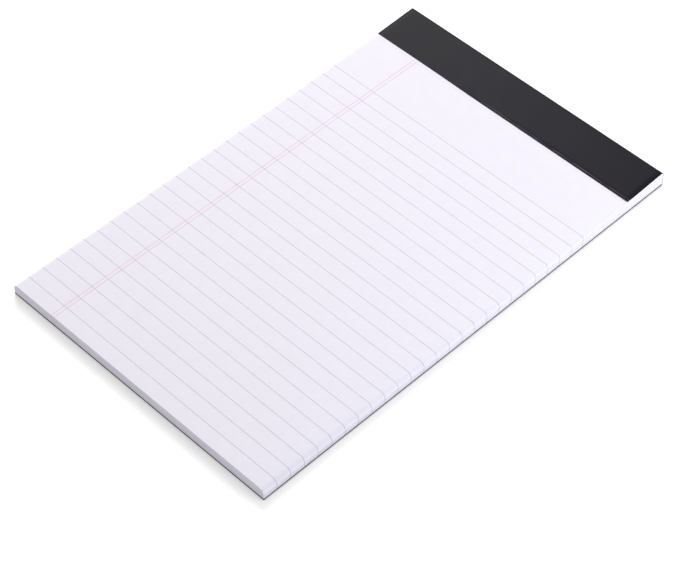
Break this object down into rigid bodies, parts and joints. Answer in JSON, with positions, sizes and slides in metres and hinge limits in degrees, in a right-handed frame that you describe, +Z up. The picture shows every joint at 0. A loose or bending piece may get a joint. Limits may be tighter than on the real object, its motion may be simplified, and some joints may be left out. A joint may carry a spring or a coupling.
{
  "type": "legal pad",
  "caption": "Ruled writing pad: a block of white perforated sheets on a grey chipboard back, stitched at the head and bound there with black paper tape.",
  "frame": {"origin": "centre of the pad's footprint, on the plane that its back rests on", "axes": "+X to the reader's right, +Y towards the taped head, +Z up out of the writing face"},
  "size_m": [0.127, 0.2032, 0.0068],
  "materials": {
    "chipboard": "matte grey recycled board",
    "sheets": "uncoated white bond paper with thin rules",
    "tape": "satin black coated binding paper",
    "wire": "galvanized stitching wire"
  },
  "bodies": {
    "root": {"backing_board": "chipboard", "sheet_block": "sheets", "binding_tape": "tape", "staples": "wire"}
  },
  "joints": []
}
